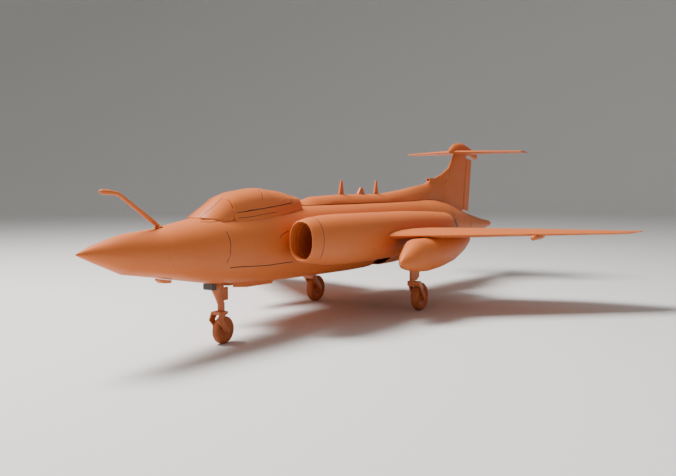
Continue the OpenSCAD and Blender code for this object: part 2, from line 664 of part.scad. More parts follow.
// ---- tail ----
fin_base_z0 = body_z(at(0.757), 0) + gap;
fin_base_z1 = body_z(at(0.869), 0) + 2;
fin_depth = 10;
fin_top_z = 321;
function fin_le(z) =
  z < 270 ? at(0.757) : z < 287 ? lerp(at(0.757), at(0.794), (z - 270) / 17)
  : lerp(at(0.794), at(0.8185), (z - 287) / 36);
function fin_te(z) = at(0.889) + (z - 184) * 0.155;
function fin_station(z, zr, depth) = [[0, fin_le(z), z], [0, fin_te(zr), zr], depth];
fin_rows = [
  fin_station(fin_base_z0, fin_base_z1, fin_depth), fin_station(236, 222, fin_depth),
  fin_station(268, 258, fin_depth * 0.94), fin_station(287, 282, fin_depth * 0.86),
  fin_station(304, 302, fin_depth * 0.82), fin_station(fin_top_z, fin_top_z, fin_depth * 0.8)];
rudder_z0 = fin_base_z1 + 8;
rudder_z1 = fin_top_z - 5;
rudder_chord = 38;
rudder_h = 3.4;
rudder_tilt = atan(0.155);
rudder_axis_y = fin_te(rudder_z0) - rudder_chord;
// Share of the fin's chord at which it stops ahead of the rudder
function fin_stop(s) =
  (rudder_axis_y + (s[1][2] - rudder_z0) * tan(rudder_tilt) - rudder_h - 1 - s[0][1]) / (s[1][1] - s[0][1]);
module fin() color(shell_colour) {
  loft([for (s = fin_rows) front_ring(s, up_x, fin_stop(s))]);
}
module rudder() color(shell_colour) {
  difference() {
    translate([0, rudder_axis_y, rudder_z0]) rotate([-rudder_tilt, 0, 0])
      linear_extrude((rudder_z1 - rudder_z0) / cos(rudder_tilt))
        difference() {
          union() {
            circle(r = rudder_h, $fn = 32);
            polygon([[-rudder_h, 0], [rudder_h, 0], [edge_h, rudder_chord], [-edge_h, rudder_chord]]);
          }
          circle(d = pin_d + 2 * running, $fn = 24);
        }
    translate([-20, 400, rudder_z1 - 3]) cube([40, 300, 30]);
  }
}

tail_half_span = 155;
tailplane_z = fin_top_z + 6;
tail_root_le = at(0.806);
tail_te = at(0.9095);
tail_s0 = [[0, tail_root_le, tailplane_z], [0, tail_te, tailplane_z], 11];
tail_s1 = [[tail_half_span, tail_root_le + 72, tailplane_z], [tail_half_span, tail_te - 6, tailplane_z], 5];
elevator_y = tail_te - 34;
module tailplane() color(shell_colour) {
  difference() {
    union() {
      both_sides() loft([front_ring(tail_s0, up_z, 0.99), front_ring(slice(tail_s0, tail_s1, 0.5), up_z, 0.99),
        front_ring(tail_s1, up_z, 0.99)]);
      dome();
      tail_bullet();
    }
    both_sides() translate([7, elevator_y - 3.6, tailplane_z - 10]) cube([200, 60, 20]);
    translate([-10, elevator_y - 3.6, tailplane_z - 20]) cube([20, 16, 24.5]);
  }
}
dome_rows = [
  [0, 1.5, 3], [0.08, 6, 13], [0.2, 9, 23], [0.42, 10, 28.5], [0.6, 9.5, 27.5], [0.8, 7, 21], [1, 4, 13]];
dome_y0 = tail_root_le - 16;
dome_y1 = tail_te - 4;
function dome_ring(r) =
  let (y = lerp(dome_y0, dome_y1, r[0]))
  [for (a = [-10 : 20 : 190]) [r[1] * cos(a), y, tailplane_z - 3 + r[2] * max(-0.1, sin(a))]];
module dome() loft([for (r = dome_rows) dome_ring(r)]);
// Small fairing that ends the tailplane centre, behind the rudder
// [behind the dome's end, half width, top, bottom]
bullet_rows = [[-14, 4, 6, -3], [-2, 5.5, 4, -10.5], [12, 6, 2, -15], [26, 4.5, 0, -13], [34, 1.5, -4, -9]];
module tail_bullet()
  loft([for (r = bullet_rows)
    [for (i = [0 : 11]) let (a = 30 * i + 15)
      [r[1] * cos(a), dome_y1 + r[0], tailplane_z + (r[2] + r[3]) / 2 + (r[2] - r[3]) / 2 * sin(a)]]]);
module elevator() color(shell_colour) {
  h = 2.4;
  difference() {
    union() {
      both_sides() loft([for (x = [8, tail_half_span - 4])
        [[x, elevator_y - h, tailplane_z], [x, elevator_y - h * 0.7, tailplane_z + h * 0.7],
         [x, elevator_y, tailplane_z + h], [x, tail_te - x * 0.04, tailplane_z + edge_h],
         [x, tail_te - x * 0.04, tailplane_z - edge_h], [x, elevator_y, tailplane_z - h],
         [x, elevator_y - h * 0.7, tailplane_z - h * 0.7]]]);
      translate([-9, elevator_y - 1.6, tailplane_z - 1.6]) cube([18, 8, 3.2]);
    }
    translate([-170, elevator_y, tailplane_z]) rotate([0, 90, 0]) cylinder(d = pin_d + 2 * running, h = 340);
  }
}
module blade(y, h, chord_l, depth) {
  z = blend_rows(spine_rows, y)[1] - 2;
  hull() {
    translate([-depth / 2, y - chord_l / 2, z]) cube([depth, chord_l, 1]);
    translate([-depth / 3, y - chord_l * 0.05, z + h]) cube([depth / 1.5, chord_l * 0.3, 1]);
  }
}
module aerials() color(shell_colour) {
  for (y = mast_ys) {
    translate([0, y, blend_rows(spine_rows, y)[1] + gap]) cylinder(d = 9, h = 1.5);
    translate([0, y, blend_rows(spine_rows, y)[1] - 8]) cylinder(d = 4, h = 9);
    translate([0, 0, 3]) blade(y, 25, 15, 4);
  }
  translate([0, 0, 2.3]) blade(at(0.4865), 12, 24, 5);
}

// Tail cone: two petals that open as airbrakes, each on an upright pin
petal_pin = [34.5, cone_joint + 4];
lug_z = [137, 148.5];
lug_h = 4.5;
module petal() color(shell_colour) {
  difference() {
    union() {
      difference() {
        body_shell(body_rows, cone_joint, at(1));
        translate([-200, cone_joint - 5, 60]) cube([200.3, 400, 200]);
        translate([29, cone_joint - 5, lug_z[0] + lug_h]) cube([12, 13, lug_z[1] - lug_z[0] - lug_h]);
      }
      for (z = lug_z) translate([petal_pin[0] - 2, petal_pin[1] - 2.2, z]) cube([4.4, 4.4, lug_h]);
    }
    translate([petal_pin[0], petal_pin[1], lug_z[0] - 1]) cylinder(d = pin_d + 2 * running, h = 40);
  }
  intersection() {
    body_solid(body_rows, at(0.985), at(1), skin - 0.2);
    translate([0.3, at(0.985), 60]) cube([40, 40, 200]);
  }
}
module airbrake_left() petal();
module airbrake_right() mirror([1, 0, 0]) petal();

// ---- hinge pins ----
module hinge_pins() color(steel_colour) {
  both_sides() {
    pin_between(hinge_point(flap_x0), hinge_point(flap_x1 - 0.2), pin_d);
    pin_between(hinge_point(aileron_x0 + 0.2), hinge_point(aileron_x1), pin_d);
  }
  translate([0, rudder_axis_y, rudder_z0]) rotate([-rudder_tilt, 0, 0])
    cylinder(d = pin_d, h = rudder_z1 - rudder_z0 - 4);
  translate([-tail_half_span + 5, elevator_y, tailplane_z]) rotate([0, 90, 0])
    cylinder(d = pin_d, h = 2 * tail_half_span - 10);
  both_sides() translate([petal_pin[0], petal_pin[1], lug_z[0]]) cylinder(d = pin_d, h = lug_z[1] + lug_h - lug_z[0]);
}

// ---- nose gear ----
module nose_mount() color(shell_colour) {
  w = 13;
  difference() {
    union() {
      both_sides() translate([w - 6, nose_y - 8, nose_pivot_z - 8]) cube([6, 16, 20]);
      translate([-w, nose_y - 8, nose_pivot_z + 9]) cube([2 * w, 24, 5]);
    }
    translate([-w - 1, nose_y, nose_pivot_z]) rotate([0, 90, 0]) cylinder(d = trunnion_d + 2 * running, h = 2 * w + 2);
  }
}
strut_d = 9;
spigot_d = 5;
nose_strut_end = 64;
module nose_leg() color(shell_colour) {
  difference() {
    union() {
      translate([-13.5, nose_y, nose_pivot_z]) rotate([0, 90, 0]) cylinder(d = trunnion_d, h = 27);
      translate([0, nose_y, nose_strut_end]) cylinder(d = strut_d, h = nose_pivot_z - nose_strut_end);
      translate([-6.5, nose_y - 5, nose_pivot_z - 6]) cube([13, 10, 10]);
      translate([-1.5, nose_y, nose_strut_end + 2]) cube([3, 15, 20]);
    }
    translate([0, nose_y, nose_strut_end - 1]) cylinder(d = spigot_d + 2 * running, h = 24);
  }
}
// How far the nose axle stands out each side, for a tow bar
tow_pin = 3;
module nose_fork() color(shell_colour) {
  half = nose_tyre_w / 2 + 1.2;
  plate = 2.2;
  top = nose_tyre_d + 4;
  translate([0, nose_y, top]) cylinder(d = spigot_d, h = nose_strut_end + 20 - top);
  translate([0, nose_y, top + 3]) cylinder(d = 11, h = nose_strut_end - top - 3 - gap);
  translate([-half - plate, nose_y - 12, top]) cube([2 * (half + plate), 17, 4.5]);
  both_sides() translate([half, 0, 0]) rotate([90, 0, 90]) linear_extrude(plate)
    polygon([[nose_y - 12, top + 4.5], [nose_y + 5, top + 4.5], [nose_y - 6, top - 8],
             [nose_axle_y + 4, nose_axle_z + 1], [nose_axle_y + 1, nose_axle_z - 4],
             [nose_axle_y - 4, nose_axle_z - 3], [nose_y - 18, top - 8]]);
  translate([-half - plate - tow_pin, nose_axle_y, nose_axle_z]) rotate([0, 90, 0])
    cylinder(d = axle_d, h = 2 * (half + plate + tow_pin));
}
hub_share = 0.6;
nose_hub = nose_tyre_d * hub_share;
main_hub = main_tyre_d * hub_share;
module wheel(w, hub) {
  rotate([0, 90, 0]) difference() {
    union() {
      cylinder(d = hub, h = w * 0.72, center = true);
      cylinder(d = hub * 0.45, h = w, center = true);
    }
    cylinder(d = axle_d + 2 * running, h = w * 2, center = true);
    for (s = [-1, 1], i = [0 : 4]) rotate([0, 0, i * 72]) translate([hub * 0.33, 0, s * w * 0.36])
      cylinder(d = hub * 0.16, h = w * 0.3, center = true);
  }
}
module tyre(d, w, hub) {
  rotate([0, 90, 0]) rotate_extrude() intersection() {
    translate([hub / 2, -w / 2]) square([(d - hub) / 2, w]);
    translate([d / 2 - w * 0.62, 0]) scale([1, 0.82]) circle(r = w * 0.62);
  }
}
module nose_wheel() color(shell_colour)
  translate([0, nose_axle_y, nose_axle_z]) wheel(nose_tyre_w, nose_hub);
module nose_tyre() color(shell_colour)
  translate([0, nose_axle_y, nose_axle_z]) tyre(nose_tyre_d, nose_tyre_w, nose_hub);
nose_door_t = 1.4;
module nose_doors() color(shell_colour) both_sides() {
  translate([nose_well - gap - nose_door_t, nose_y, 0]) rotate([90, 0, 90]) linear_extrude(nose_door_t)
    polygon([[8, 99], [8, 87], [40, 83.5], [104, 82.5], [110, 87], [110, 97]]);
}

// ---- main gear ----
main_leg_y = main_y - 22;
main_trunnion = 38;
module main_mount() {
  difference() {
    translate([108, main_leg_y - 20, 103]) cube([19.5, 40, 22]);
    translate([90, main_leg_y - 13, 90]) cube([50, 26, 60]);
    translate([main_pivot[0], main_leg_y - 25, main_pivot[1]]) rotate([-90, 0, 0])
      cylinder(d = trunnion_d + 2 * running, h = 50);
  }
}
module main_mounts() color(shell_colour) both_sides() main_mount();
arm_x = main_tyre_w / 2 + 1.5;
arm_t = 3;
knuckle_z = main_tyre_d - 4;
module main_leg() color(shell_colour) {
  x = main_pivot[0];
  w = half_track;
  translate([x, main_leg_y - main_trunnion / 2, main_pivot[1]]) rotate([-90, 0, 0])
    cylinder(d = trunnion_d, h = main_trunnion);
  translate([x - 5.5, main_leg_y - 12, main_pivot[1] - 6]) cube([11, 24, 11]);
  translate([x, main_leg_y, knuckle_z]) cylinder(d = 9, h = main_pivot[1] - knuckle_z);
  translate([w - arm_x - arm_t, main_leg_y - 6, knuckle_z]) cube([2 * (arm_x + arm_t), 11, 9]);
  for (side = [-1, 1]) translate([w + side * (arm_x + arm_t / 2) - arm_t / 2, 0, 0]) hull() {
    translate([0, main_leg_y, knuckle_z + 4.5]) rotate([0, 90, 0]) cylinder(d = 9, h = arm_t);
    translate([0, main_y, main_axle_z]) rotate([0, 90, 0]) cylinder(d = 11, h = arm_t);
  }
  translate([w - arm_x - arm_t, main_y, main_axle_z]) rotate([0, 90, 0])
    cylinder(d = axle_d, h = 2 * (arm_x + arm_t));
}
main_door_x = main_pivot[0] + 4.5 + gap;
main_door_t = 1.6;
// Outline from front to rear and up, from the leg and the pivot
main_door_rows = [[-20, -13], [20, -13], [14, -46], [4, -51.5], [-12, -51.5], [-20, -44]];
module main_door() color(shell_colour)
  translate([main_door_x, main_leg_y, main_pivot[1]]) rotate([90, 0, 90])
    linear_extrude(main_door_t) polygon(main_door_rows);
module main_leg_left() main_leg();
module main_leg_right() mirror([1, 0, 0]) main_leg();
module main_door_left() main_door();
module main_door_right() mirror([1, 0, 0]) main_door();
module main_wheel_left() color(shell_colour)
  translate([half_track, main_y, main_axle_z]) wheel(main_tyre_w, main_hub);
module main_wheel_right() mirror([1, 0, 0]) main_wheel_left();
module main_tyre_left() color(shell_colour)
  translate([half_track, main_y, main_axle_z]) tyre(main_tyre_d, main_tyre_w, main_hub);
module main_tyre_right() mirror([1, 0, 0]) main_tyre_left();

nose_cone();
chin_fairing();
front_fuselage();
mid_fuselage();
tail_fuselage();
dorsal_spine();
windshield();
canopy();
probe();
battery_tray();
battery();
receiver();
speed_controls();
servos();
fin();
rudder();
tailplane();
elevator();
aerials();
airbrake_left();
airbrake_right();
nacelle_left();
nacelle_right();
intake_lips();
inlet_ducts();
fan_housing_left();
fan_housing_right();
fan_rotor_left();
fan_rotor_right();
fan_motors();
jet_pipes();
wing_left();
wing_right();
wing_tips();
flap_left();
flap_right();
aileron_left();
aileron_right();
slipper_tank_left();
slipper_tank_right();
wing_pods();
wing_frame();
wing_joiners();
hinge_pins();
nose_mount();
nose_leg();
nose_fork();
nose_wheel();
nose_tyre();
nose_doors();
main_mounts();
main_leg_left();
main_leg_right();
main_door_left();
main_door_right();
main_wheel_left();
main_wheel_right();
main_tyre_left();
main_tyre_right();
cockpit_sill();
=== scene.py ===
"""Skins, undercarriage, fans and studio for a twin ducted-fan radio-control jet."""

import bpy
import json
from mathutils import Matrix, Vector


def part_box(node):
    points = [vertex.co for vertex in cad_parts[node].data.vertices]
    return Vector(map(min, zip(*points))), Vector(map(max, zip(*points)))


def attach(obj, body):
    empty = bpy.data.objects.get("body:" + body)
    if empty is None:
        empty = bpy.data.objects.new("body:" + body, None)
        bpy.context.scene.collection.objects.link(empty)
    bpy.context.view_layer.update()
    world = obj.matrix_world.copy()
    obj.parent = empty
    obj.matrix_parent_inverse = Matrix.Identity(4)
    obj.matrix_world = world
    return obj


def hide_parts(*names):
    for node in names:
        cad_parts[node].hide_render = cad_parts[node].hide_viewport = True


bl_info = {
    "name": "Ducted Fan Jet",
    "version": (1, 0, 0),
    "blender": (4, 5, 0),
    "location": "View3D > Sidebar > Jet",
    "description": "Moulded skins, undercarriage, fans and studio for a radio-control jet",
    "category": "Add Mesh",
}

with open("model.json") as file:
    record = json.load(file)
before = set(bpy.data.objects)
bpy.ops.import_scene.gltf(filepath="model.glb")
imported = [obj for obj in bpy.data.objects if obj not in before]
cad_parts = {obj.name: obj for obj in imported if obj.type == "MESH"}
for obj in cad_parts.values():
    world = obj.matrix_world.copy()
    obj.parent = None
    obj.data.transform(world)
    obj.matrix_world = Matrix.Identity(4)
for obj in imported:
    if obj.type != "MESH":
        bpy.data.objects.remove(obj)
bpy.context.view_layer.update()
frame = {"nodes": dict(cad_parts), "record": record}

import json
import math

import bmesh
import bpy
from mathutils import Matrix, Vector

MM = 0.001
RECORD = frame["record"]
BODY_OF = {n: b for b, ns in RECORD["behaviour"]["bodies"].items() for n in ns}
SLOT_OF = {part["node"]: part["material_slot"] for part in RECORD["subparts"]}

# How near two points of a CAD mesh are welded, and how flat a join between faces is cleared
WELD = 0.002 * MM
FLAT = math.radians(0.6)
# How deep a panel line's centre lies under the skin, as a share of its radius
SEAM_SINK = 0.62
# Camera: its place in metres, then its heading, tilt down and roll in degrees
CAMERA_PLACE = (0.7354, -1.2831, 0.2332)
HEADING, TILT_DOWN, ROLL = 31.954, 3.742, -0.185
SENSOR_WIDTH = 36
WORLD_COLOUR, WORLD_STRENGTH = "#F2F3F5", 0.42

# ---- places taken from the frame ----


def low(node):
    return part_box(node)[0]


def high(node):
    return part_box(node)[1]


# ---- colour and materials ----


def linear(code):
    """Linear RGBA of an sRGB hex colour."""
    parts = [int(code[i : i + 2], 16) / 255 for i in (1, 3, 5)]
    return [c / 12.92 if c <= 0.04045 else ((c + 0.055) / 1.055) ** 2.4 for c in parts] + [1.0]


def add_node(tree, kind, settings=(), links=()):
    """One shader node. settings: (attribute or input, value); links: (input, node, output)."""
    made = tree.nodes.new(kind)
    for key, value in settings:
        if isinstance(key, str) and hasattr(made, key):
            setattr(made, key, value)
        else:
            made.inputs[key].default_value = value
    for key, source, output in links:
        tree.links.new(source.outputs[output], made.inputs[key])
    return made


def per_mm(size):
    """Texture scale for a pattern of this size in millimetres."""
    return 1 / (size * MM)


def surface(name, base, shade, shader, mottle_mm, grain_mm, grain_depth, rough, edge=0.0):
    """A finish with slow colour mottle, a fine grain and paler edges, partly rubbing and partly a
    painted highlight.

    base and shade are hex colours; rough is the roughness range; edge is how far
    corners turn towards a paler tone, partly rubbing wear and partly a painted highlight.
    mottle_mm, grain_mm and grain_depth are millimetres.
    The real grain of these finishes is mostly under half a millimetre, too fine to show,
    so it is drawn at one millimetre or more.
    """
    made = bpy.data.materials.new(name)
    made.use_nodes = True
    made.diffuse_color = linear(base)
    tree = made.node_tree
    tree.nodes.clear()
    place = add_node(tree, "ShaderNodeTexCoord")
    mottle = add_node(
        tree,
        "ShaderNodeTexNoise",
        [("Scale", per_mm(mottle_mm)), ("Detail", 4.0), ("Roughness", 0.55)],
        [("Vector", place, "Object")],
    )
    grain = add_node(
        tree,
        "ShaderNodeTexNoise",
        [("Scale", per_mm(grain_mm)), ("Detail", 2.0)],
        [("Vector", place, "Object")],
    )
    tone = add_node(
        tree,
        "ShaderNodeMix",
        [("data_type", "RGBA"), (6, linear(base)), (7, linear(shade))],
        [(0, mottle, "Fac")],
    )
    colour, output = tone, 2
    # Paler corners: partly rubbing wear, partly a painted highlight along the edges
    if edge:
        round_normal = add_node(tree, "ShaderNodeBevel", [("samples", 4), ("Radius", 0.9 * MM)])
        flat_normal = add_node(tree, "ShaderNodeNewGeometry")
        same = add_node(
            tree,
            "ShaderNodeVectorMath",
            [("operation", "DOT_PRODUCT")],
            [(0, round_normal, "Normal"), (1, flat_normal, "Normal")],
        )
        corner = add_node(
            tree,
            "ShaderNodeMapRange",
            [("From Min", 0.99), ("From Max", 0.85), ("To Max", edge)],
            [("Value", same, "Value")],
        )
        colour = add_node(
            tree,
            "ShaderNodeMix",
            [("data_type", "RGBA"), (7, linear(RUB_AND_EDGE_HIGHLIGHT))],
            [(0, corner, "Result"), (6, tone, 2)],
        )
    wear = add_node(
        tree,
        "ShaderNodeMapRange",
        [("From Min", 0.3), ("From Max", 0.7), ("To Min", rough[0]), ("To Max", rough[1])],
        [("Value", mottle, "Fac")],
    )
    bump = add_node(
        tree,
        "ShaderNodeBump",
        [("Strength", 0.35), ("Distance", grain_depth * MM)],
        [("Height", grain, "Fac")],
    )
    body = add_node(
        tree,
        "ShaderNodeBsdfPrincipled",
        shader,
        [("Base Color", colour, output), ("Roughness", wear, "Result"), ("Normal", bump, "Normal")],
    )
    add_node(tree, "ShaderNodeOutputMaterial", (), [("Surface", body, "BSDF")])
    return made


# Pale tone of the corners: partly rubbing wear, partly a painted highlight
RUB_AND_EDGE_HIGHLIGHT = "#E3A37E"
FINISHES = {}


def finish_of(node):
    return FINISHES[SLOT_OF[node]]


def make_finishes(colours):
    """One finish for each material slot of the record, and the painted shade of a seam's groove."""
    shell, shade = colours.shell, colours.shell_shade
    # Moulded ABS: an even satin skin with a faint pearl of the mould's spark grain
    FINISHES["moulded_shell"] = surface(
        "moulded_abs", shell, shade, [("IOR", 1.53), ("Specular IOR Level", 0.3)],
        55, 1.6, 0.05, (0.44, 0.56), 0.35)
    # Vacuum-formed ABS sheet: smoother and a little glossier than the moulded skin
    FINISHES["formed_canopy"] = surface(
        "vacuum_formed_abs", shell, shade, [("IOR", 1.53), ("Specular IOR Level", 0.4)],
        70, 2.4, 0.03, (0.34, 0.44), 0.3)
    # Powder-coated aluminium: a thin coat with paler corners, partly rubbing and partly a painted
    # highlight
    # Mottled towards a much darker tone than the skins: partly random tone, partly painted shade on
    # the legs and rims
    FINISHES["painted_gear"] = surface(
        "powder_coated_alloy", shell, colours.gear_shade, [("IOR", 1.5), ("Coat Weight", 0.15)],
        18, 1.1, 0.04, (0.42, 0.58), 0.6)
    FINISHES["painted_hub"] = surface(
        "powder_coated_rim", shell, colours.gear_shade, [("IOR", 1.5), ("Coat Weight", 0.2)],
        14, 1.0, 0.03, (0.38, 0.52), 0.6)
    # Moulded rubber: dull, with a fine tooth that scatters the light; its colour, darker than the
    # skins, is painted shade
    FINISHES["tyre_rubber"] = surface(
        "moulded_rubber", colours.tyre, colours.gear_shade, [("IOR", 1.52)],
        12, 1.2, 0.12, (0.7, 0.86), 0.4)
    # Moulded glass-filled nylon: dark and satin, slightly paler where fibres lie near the face
    FINISHES["fan_nylon"] = surface(
        "glass_filled_nylon", "#2E2622", "#463A33", [("IOR", 1.53)], 3, 1.4, 0.06, (0.4, 0.55), 0.2)
    # Turned and anodised aluminium: an even satin grey metal with a faint tooth
    FINISHES["anodised_aluminium"] = surface(
        "anodised_aluminium", "#9EA0A4", "#85878B", [("Metallic", 1.0)], 9, 1.5, 0.05, (0.28, 0.4))
    # Rolled aluminium sheet: metal browned by heat in slow patches
    FINISHES["rolled_aluminium"] = surface(
        "rolled_aluminium", "#8D7F74", "#6E5F55", [("Metallic", 1.0)], 24, 2.0, 0.06, (0.34, 0.5))
    # Gel-coated glass fibre: the duct's smooth inner face
    FINISHES["duct_liner"] = surface(
        "gel_coated_glass_fibre", shell, shade, [("IOR", 1.5)], 40, 2.0, 0.03, (0.3, 0.42))
    # Pultruded carbon tube: near black under a clear gloss
    FINISHES["carbon_tube"] = surface(
        "pultruded_carbon", "#17181A", "#26282B", [("IOR", 1.5), ("Coat Weight", 0.6)],
        4, 1.0, 0.03, (0.3, 0.4))
    # Drawn spring steel wire: bright grey with small hard highlights
    FINISHES["spring_steel"] = surface(
        "drawn_spring_steel", "#8C8F93", "#76797D", [("Metallic", 1.0)], 4, 1.0, 0.03, (0.25, 0.35))
    # Birch plywood: pale, with soft darker patches of summer wood
    FINISHES["birch_plywood"] = surface(
        "birch_plywood", "#C9A673", "#A88252", [("IOR", 1.45)], 16, 1.6, 0.1, (0.6, 0.75))
    # PVC shrink wrap: tight glossy film
    FINISHES["battery_wrap"] = surface(
        "pvc_shrink_wrap", "#23477A", "#1C3A66", [("IOR", 1.54), ("Coat Weight", 0.4)],
        22, 3.0, 0.05, (0.22, 0.34))
    # Moulded polystyrene case: near black with a low sheen
    FINISHES["electronics_case"] = surface(
        "moulded_polystyrene", "#26272A", "#323438", [("IOR", 1.59)], 10, 1.2, 0.04, (0.45, 0.55))
    # Painted shade of the panel-line grooves: dark tubes sunk into the skin stand in for each
    # groove's shadow; matt, with no highlight of their own
    FINISHES["seam"] = surface(
        "painted_groove_shade", "#4A2212", "#371709", [("IOR", 1.5)], 8, 2.0, 0.02, (0.8, 0.9))


# ---- mesh building ----


def shade(mesh, angle=42):
    """Smooth faces that stay crisp at corners sharper than this many degrees."""
    for face in mesh.polygons:
        face.use_smooth = True
    mesh.set_sharp_from_angle(angle=math.radians(angle))


def to_piece(name, mesh, finish, body, stands_for=()):
    """An object for the mesh that rides on a body and stands for CAD nodes."""
    piece = bpy.data.objects.new(name, mesh)
    bpy.context.scene.collection.objects.link(piece)
    mesh.materials.clear()
    mesh.materials.append(finish)
    if stands_for:
        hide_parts(*stands_for)
    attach(piece, body)
    return piece


def mesh_from(name, points, faces):
    mesh = bpy.data.meshes.new(name)
    mesh.from_pydata([tuple(p) for p in points], [], faces)
    tool = bmesh.new()
    tool.from_mesh(mesh)
    bmesh.ops.recalc_face_normals(tool, faces=tool.faces)
    tool.to_mesh(mesh)
    tool.free()
    return mesh


def skin_of(node, soft_edge=0.35, angle=42, finish=None):
    """The node's own surface, welded, cleaned and given rounded moulded edges."""
    mesh = frame["nodes"][node].data.copy()
    tool = bmesh.new()
    tool.from_mesh(mesh)
    bmesh.ops.remove_doubles(tool, verts=tool.verts, dist=WELD)
    bmesh.ops.dissolve_limit(
        tool, angle_limit=FLAT, verts=tool.verts, edges=tool.edges)
    bmesh.ops.recalc_face_normals(tool, faces=tool.faces)
    tool.to_mesh(mesh)
    tool.free()
    shade(mesh, angle)
    piece = to_piece(f"{node}_skin", mesh, finish or finish_of(node), BODY_OF[node], [node])
    if soft_edge:
        rounding = piece.modifiers.new("soft_edge", "BEVEL")
        rounding.width = soft_edge * MM
        rounding.segments = 2
        rounding.limit_method = "ANGLE"
        rounding.angle_limit = math.radians(angle)
        rounding.harden_normals = True
    return piece


def settle(piece):
    """Applies the piece's modifiers to its mesh."""
    view = bpy.context.evaluated_depsgraph_get()
    done = bpy.data.meshes.new_from_object(piece.evaluated_get(view))
    piece.modifiers.clear()
    piece.data = done


def tube_points(path, radius, sides):
    """Rings of points round a path, and the faces that join them."""
    points, faces = [], []
    for i, here in enumerate(path):
        ahead = path[min(i + 1, len(path) - 1)] - path[max(i - 1, 0)]
        across = ahead.cross(Vector((0.13, 0.27, 0.95))).normalized()
        over = ahead.cross(across).normalized()
        for k in range(sides):
            a = 2 * math.pi * k / sides
            points.append(here + (across * math.cos(a) + over * math.sin(a)) * radius)
    for i in range(len(path) - 1):
        for k in range(sides):
            a, b = i * sides + k, i * sides + (k + 1) % sides
            faces.append((a, b, b + sides, a + sides))
    faces.append(tuple(range(sides))[::-1])
    faces.append(tuple((len(path) - 1) * sides + k for k in range(sides)))
    return points, faces


def smooth_path(points, steps=6):
    """Points on a smooth curve through the given points."""
    pts = [Vector(p) for p in points]
    if len(pts) < 3:
        return [pts[0].lerp(pts[-1], k / steps) for k in range(steps + 1)]
    ends = [pts[0] * 2 - pts[1]] + pts + [pts[-1] * 2 - pts[-2]]
    out = []
    for i in range(1, len(ends) - 2):
        a, b, c, d = ends[i - 1 : i + 3]
        for k in range(steps):
            t = k / steps
            out.append(
                0.5 * ((2 * b) + (c - a) * t + (2 * a - 5 * b + 4 * c - d) * t * t
                       + (3 * b - a - 3 * c + d) * t ** 3))
    out.append(pts[-1])
    return out


def both_ways(paths):
    """The paths and their mirror images in the plane x = 0."""
    return paths + [[(-x, y, z) for x, y, z in path] for path in paths]


def add_shapes(piece, points, faces, finish=None):
    """Adds more faces to the piece's mesh, in a finish of their own if one is given."""
    settle(piece)
    mesh = piece.data
    slot_number = 0
    if finish:
        mesh.materials.append(finish)
        slot_number = len(mesh.materials) - 1
    tool = bmesh.new()
    tool.from_mesh(mesh)
    made = [tool.verts.new(p) for p in points]
    faces_made = []
    for face in faces:
        new = tool.faces.new([made[k] for k in face])
        new.material_index = slot_number
        new.smooth = True
        faces_made.append(new)
    bmesh.ops.recalc_face_normals(tool, faces=faces_made)
    tool.to_mesh(mesh)
    tool.free()


def lay_groove_shade(piece, paths, width=None):
    """Lays dark tubes along paths, given in millimetres, sunk into the piece's skin: painted shade
    of the panel-line grooves.
    """
    radius = (width or bpy.context.scene.jet_sizes.seam_width) / 2
    parts = []
    for path in paths:
        on_skin = []
        for p in smooth_path(path):
            found, place, normal, _ = piece.closest_point_on_mesh(p * MM)
            if found:
                on_skin.append(place - normal * radius * SEAM_SINK)
        parts.append(tube_points(on_skin, radius, 8))
    points, faces = join_parts(parts)
    # The tubes' dark finish is painted shade in place of a groove's shadow
    add_shapes(piece, points, faces, FINISHES["seam"])


def lathe(profile, sides, centre, axis):
    """Turned shape. profile: (radius, along axis); axis 'X' or 'Y'. Closed on itself."""
    points, faces, n = [], [], len(profile)
    for k in range(sides):
        a = 2 * math.pi * k / sides
        for r, s in profile:
            u, v = r * math.cos(a), r * math.sin(a)
            offset = Vector((s, u, v)) if axis == "X" else Vector((u, s, v))
            points.append(centre + offset)
    for k in range(sides):
        for i in range(n):
            a, b = k * n + i, k * n + (i + 1) % n
            c, d = ((k + 1) % sides) * n + (i + 1) % n, ((k + 1) % sides) * n + i
            faces.append((a, b, c, d))
    return points, faces


def join_parts(parts):
    """One list of points and faces from several."""
    points, faces = [], []
    for more, joins in parts:
        faces += [tuple(k + len(points) for k in f) for f in joins]
        points += more
    return points, faces


# ---- seam lines, in millimetres, on the left side unless they cross the middle ----
# These points were read off the CAD skins by a scratch program and are not worked out
# from the frame, so they don't follow a change of the body's shape.
PANE_LINES = [
    [(11.2, -494.4, 194.7), (10.9, -482, 201.8), (10.7, -468, 209.2), (10, -455, 216),
     (9.2, -444.2, 222.2)]]
PANE_FOOT = [
    [(16.7, -501.5, 189.4), (21.5, -496.6, 188.6), (25, -486.8, 188), (26.7, -472.2, 189)]]
RAIL_LINE = [
    [(33, -436, 196.5), (33.6, -406.6, 201.4), (33.4, -375.8, 205.2), (32.4, -338.7, 208.1),
     (29.1, -296.4, 212.3)]]
REAR_BOW = [
    (28.8, -296.1, 213.5), (27.7, -292.2, 217), (22.8, -289.2, 223.4), (12, -287.5, 229),
    (0, -287, 231)]
MID_BAR = [(31.2, -375.9, 218.4), (23.6, -368.7, 229), (14.3, -365.1, 234.5)]
SIDE_SEAMS = [
    [(40, -473.4, 174.6), (43.7, -470.8, 165.6), (46.1, -470.2, 154.6), (46, -471.5, 141.4),
     (43.7, -476.5, 128.4)],
    [(42.5, -468.4, 121), (44.6, -439.6, 120.4), (45.6, -393, 117.7), (46.4, -354.8, 117.5),
     (46.7, -317.8, 117.4)],
    [(49.4, -355.4, 158.1), (48.7, -347.3, 163.7), (48.5, -330, 168)]]
DECK_LINE = [
    [(32.2, -442.7, 191.4), (35.4, -409, 193.3), (36.1, -379.5, 195.9), (35.4, -345, 198.5)]]
